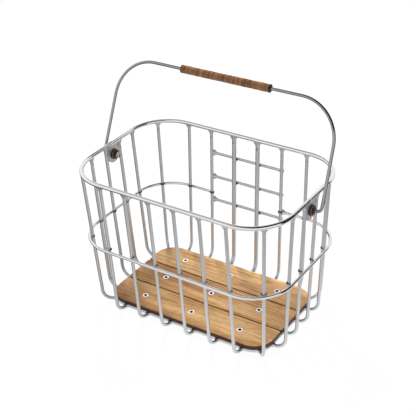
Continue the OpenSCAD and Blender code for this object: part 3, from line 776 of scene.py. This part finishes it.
def makeWorld():
    # plain white behind the object, softer fill on it, and a graded sky in polished metal
    world = bpy.data.worlds.new("studio")
    bpy.context.scene.world = world
    world.use_nodes = True
    tree = world.node_tree
    background = tree.nodes["Background"]
    path = addNode(tree, "ShaderNodeLightPath")
    place = addNode(tree, "ShaderNodeTexCoord")
    split = addNode(tree, "ShaderNodeSeparateXYZ")
    join(tree, place.outputs["Generated"], split.inputs[0])
    sky = ramp(tree, [(0.0, (0.95, 0.95, 0.95)), (0.45, (1.0, 1.0, 1.0)), (0.62, (0.92, 0.92, 0.92)),
                      (0.85, (0.45, 0.45, 0.46)), (1.0, (0.6, 0.6, 0.61))])
    join(tree, split.outputs["Z"], sky.inputs["Fac"])
    lit = addNode(tree, "ShaderNodeMix", data_type="RGBA")
    fill = studio["fill"]
    lit.inputs[6].default_value = (fill, fill, fill, 1)
    join(tree, path.outputs["Is Glossy Ray"], lit.inputs[0])
    join(tree, sky.outputs[0], lit.inputs[7])
    seen = addNode(tree, "ShaderNodeMix", data_type="RGBA")
    backdrop = studio["backdrop"]
    seen.inputs[7].default_value = (backdrop, backdrop, backdrop, 1)
    join(tree, path.outputs["Is Camera Ray"], seen.inputs[0])
    join(tree, lit.outputs[2], seen.inputs[6])
    join(tree, seen.outputs[2], background.inputs["Color"])


def makeFloor():
    # a glowing white sweep that polished metal sees as light near the object and dark to one side
    material, tree, shader = newMaterial("paleFloor", {"Roughness": 1.0, "Specular IOR Level": 0.0})
    shade = studio["floorShade"]
    shader.inputs["Base Color"].default_value = (shade, shade, shade, 1)
    shader.inputs["Emission Strength"].default_value = 1.0
    place = addNode(tree, "ShaderNodeTexCoord")
    reach = addNode(tree, "ShaderNodeVectorMath", operation="LENGTH")
    join(tree, place.outputs["Object"], reach.inputs[0])
    far = ramp(tree, [(0.0, (0.85, 0.85, 0.85)), (0.22, (0.96, 0.96, 0.97)), (0.42, (0.50, 0.50, 0.51)),
                      (0.75, (0.26, 0.26, 0.27)), (1.0, (0.70, 0.70, 0.70))])
    join(tree, reach.outputs["Value"], far.inputs["Fac"])
    darkSide = addNode(tree, "ShaderNodeVectorMath", operation="DISTANCE")
    darkSide.inputs[1].default_value = studio["darkSide"]
    join(tree, place.outputs["Object"], darkSide.inputs[0])
    near = addNode(tree, "ShaderNodeMapRange", {"From Min": 0.33, "From Max": 0.62, "To Min": 0.02})
    join(tree, darkSide.outputs["Value"], near.inputs["Value"])
    mixed = addNode(tree, "ShaderNodeMix", {0: 1.0}, data_type="RGBA", blend_type="MULTIPLY")
    join(tree, far.outputs[0], mixed.inputs[6])
    join(tree, near.outputs["Result"], mixed.inputs[7])
    path = addNode(tree, "ShaderNodeLightPath")
    glow = addNode(tree, "ShaderNodeMix", data_type="RGBA")
    light = studio["floorGlow"]
    glow.inputs[6].default_value = (light, light, light, 1)
    join(tree, path.outputs["Is Glossy Ray"], glow.inputs[0])
    join(tree, mixed.outputs[2], glow.inputs[7])
    join(tree, glow.outputs[2], shader.inputs["Emission Color"])
    flatPanel("floor", (0, 0, -0.0002), (0, 0, 1), 8, 8, material)


def flatPanel(name, centre, facing, width, height, material):
    mesh = bpy.data.meshes.new(name)
    w, h = width / 2, height / 2
    mesh.from_pydata([(-w, -h, 0), (w, -h, 0), (w, h, 0), (-w, h, 0)], [], [(0, 1, 2, 3)])
    panel = bpy.data.objects.new(name, mesh)
    bpy.context.scene.collection.objects.link(panel)
    panel.location = centre
    panel.rotation_mode = "QUATERNION"
    panel.rotation_quaternion = Vector(facing).to_track_quat("Z", "Y")
    dress(panel, material)
    return panel


# dark flags that only reflections see, as a studio has around polished metal
cards = {
    "flagBack": {"centre": (-0.45, 0.48, 0.90), "facing": (0, 0, -1), "size": (0.9, 0.3),
                 "turn": 0, "shade": 0.03},
    "flagOver": {"centre": (0.54, 0.075, 0.90), "facing": (0, 0, -1), "size": (1.4, 0.9),
                 "turn": 60, "shade": 0.02},
    "flagRight": {"centre": (0.85, 0.55, 0.53), "facing": (-1, 0, 0), "size": (1.1, 1.05),
                  "turn": 0, "shade": 0.02},
}


def makeCards():
    for name, card in cards.items():
        material, tree, shader = newMaterial(name, {"Roughness": 1.0, "Specular IOR Level": 0.0})
        shader.inputs["Base Color"].default_value = (0, 0, 0, 1)
        shader.inputs["Emission Color"].default_value = (1, 1, 1, 1)
        shader.inputs["Emission Strength"].default_value = card["shade"]
        panel = flatPanel(name, card["centre"], card["facing"], *card["size"], material)
        turn = Quaternion((0, 0, 1), math.radians(card["turn"]))
        panel.rotation_quaternion = turn @ panel.rotation_quaternion
        panel.visible_camera = False
        panel.visible_diffuse = False
        panel.visible_shadow = False
        panel.visible_transmission = False


lamps = {
    "key": {"place": (-0.8, 0.8, 1.15), "aim": (0, 0, 0.03), "size": 0.3, "power": 36.0},
}


def makeLamps():
    for name, lamp in lamps.items():
        data = bpy.data.lights.new(name, "AREA")
        data.energy = lamp["power"]
        data.size = lamp["size"]
        light = bpy.data.objects.new(name, data)
        bpy.context.scene.collection.objects.link(light)
        light.location = lamp["place"]
        light.visible_glossy = False
        light.rotation_mode = "QUATERNION"
        light.rotation_quaternion = (Vector(lamp["place"]) - Vector(lamp["aim"])).to_track_quat("Z", "Y")


camera = {"place": (0.8135, -1.1897, 1.0640), "aim": (0.0013, 0.0001, 0.1967),
          "roll": -2.59, "lens": 84.34, "sensor": 36.0}


def makeCamera():
    data = bpy.data.cameras.new("view")
    data.lens = camera["lens"]
    data.sensor_width = camera["sensor"]
    viewer = bpy.data.objects.new("view", data)
    bpy.context.scene.collection.objects.link(viewer)
    ahead = (Vector(camera["aim"]) - Vector(camera["place"])).normalized()
    right = ahead.cross(Vector((0, 0, 1))).normalized()
    up = right.cross(ahead)
    turn = math.radians(camera["roll"])
    tiltedRight = right * math.cos(turn) + up * math.sin(turn)
    tiltedUp = up * math.cos(turn) - right * math.sin(turn)
    axes = Matrix((tiltedRight, tiltedUp, -ahead)).transposed()
    viewer.location = camera["place"]
    viewer.rotation_mode = "QUATERNION"
    viewer.rotation_quaternion = axes.to_quaternion()
    bpy.context.scene.camera = viewer


makeCamera()
makeWorld()
makeFloor()
makeCards()
makeLamps()
bpy.context.scene.view_settings.view_transform = "Standard"
print("studio made")
